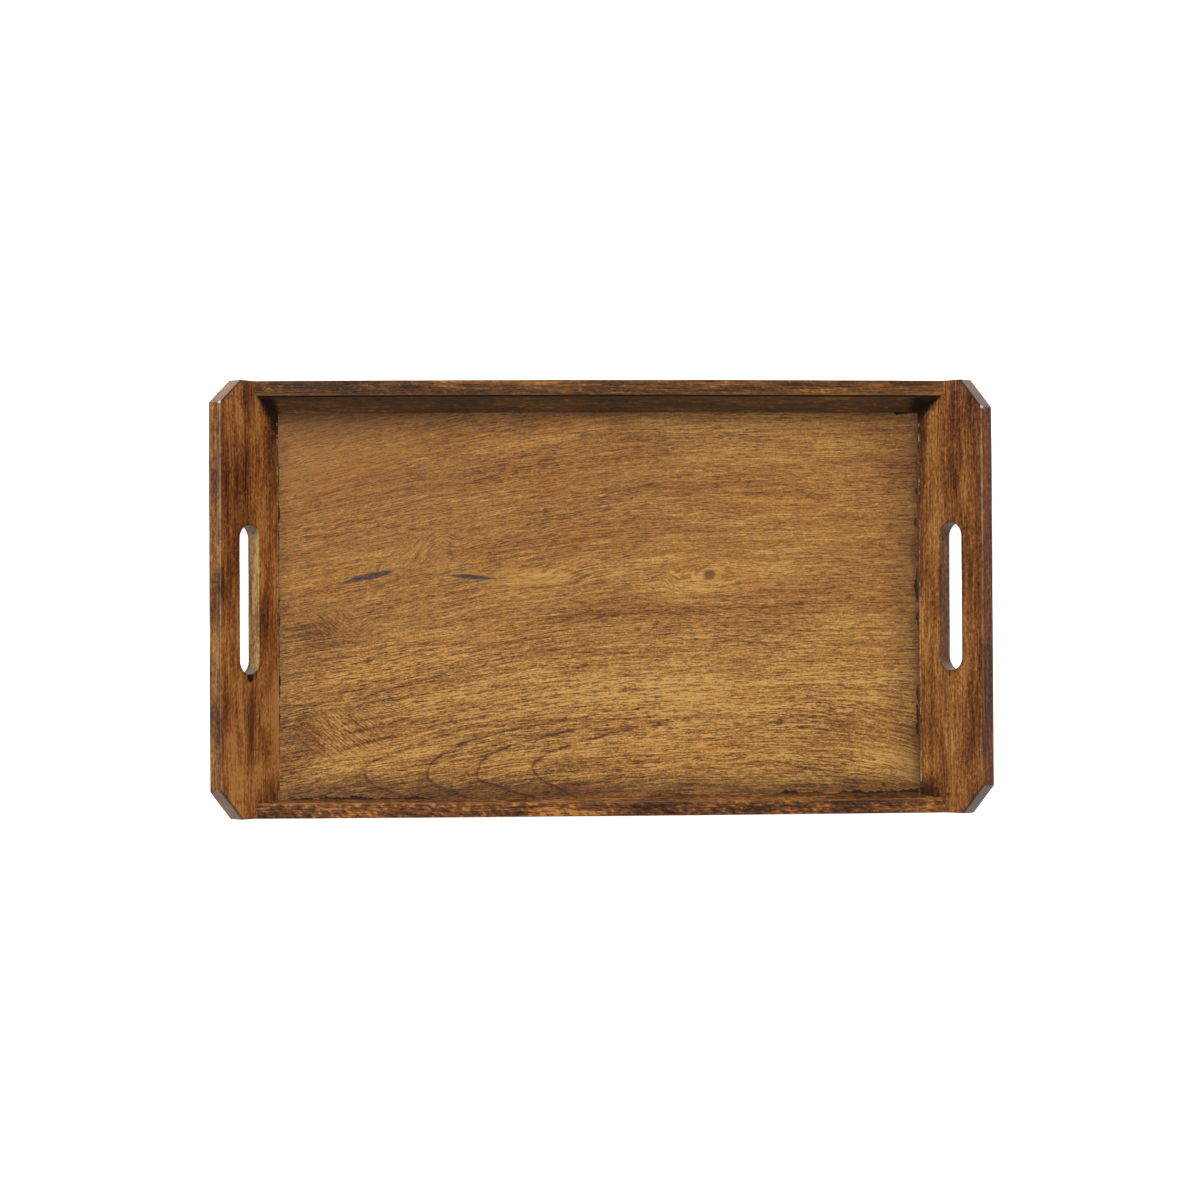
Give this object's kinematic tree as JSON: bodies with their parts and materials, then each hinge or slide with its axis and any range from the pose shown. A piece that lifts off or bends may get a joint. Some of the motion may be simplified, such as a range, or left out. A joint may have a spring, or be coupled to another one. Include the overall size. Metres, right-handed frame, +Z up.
{
  "type": "serving tray",
  "caption": "Rectangular wooden serving tray with a grooved-in flat panel, low side rails and taller end boards that lean outwards, each with a long hand slot.",
  "frame": {"origin": "middle of the tray's box at the height of the table it stands on", "axes": "+X along the tray towards the right end board, +Y from the front rail to the back rail, +Z up"},
  "size_m": [0.503, 0.281, 0.05],
  "materials": {
    "panel_wood": "hand-planed hardwood, oiled to a dull sheen, honey brown with dark pores and gum streaks",
    "rail_wood": "dark mottled hardwood with worn arrises, oiled",
    "end_board_wood": "orange-brown hardwood, grain across the tray, darker around the slot, oiled",
    "plug_wood": "dark end-grain plugs sanded flush",
    "screw_steel": "zinc-plated steel, yellowed"
  },
  "bodies": {
    "root": {"base_panel": "panel_wood", "back_rail": "rail_wood", "front_rail": "rail_wood", "left_end_board": "end_board_wood", "right_end_board": "end_board_wood", "screw_back_left_low": "screw_steel", "screw_back_left_high": "screw_steel", "screw_back_right_low": "screw_steel", "screw_back_right_high": "screw_steel", "screw_front_left_low": "screw_steel", "screw_front_left_high": "screw_steel", "screw_front_right_low": "screw_steel", "screw_front_right_high": "screw_steel", "plug_back_left_low": "plug_wood", "plug_back_left_high": "plug_wood", "plug_back_right_low": "plug_wood", "plug_back_right_high": "plug_wood", "plug_front_left_low": "plug_wood", "plug_front_left_high": "plug_wood", "plug_front_right_low": "plug_wood", "plug_front_right_high": "plug_wood"}
  },
  "joints": []
}
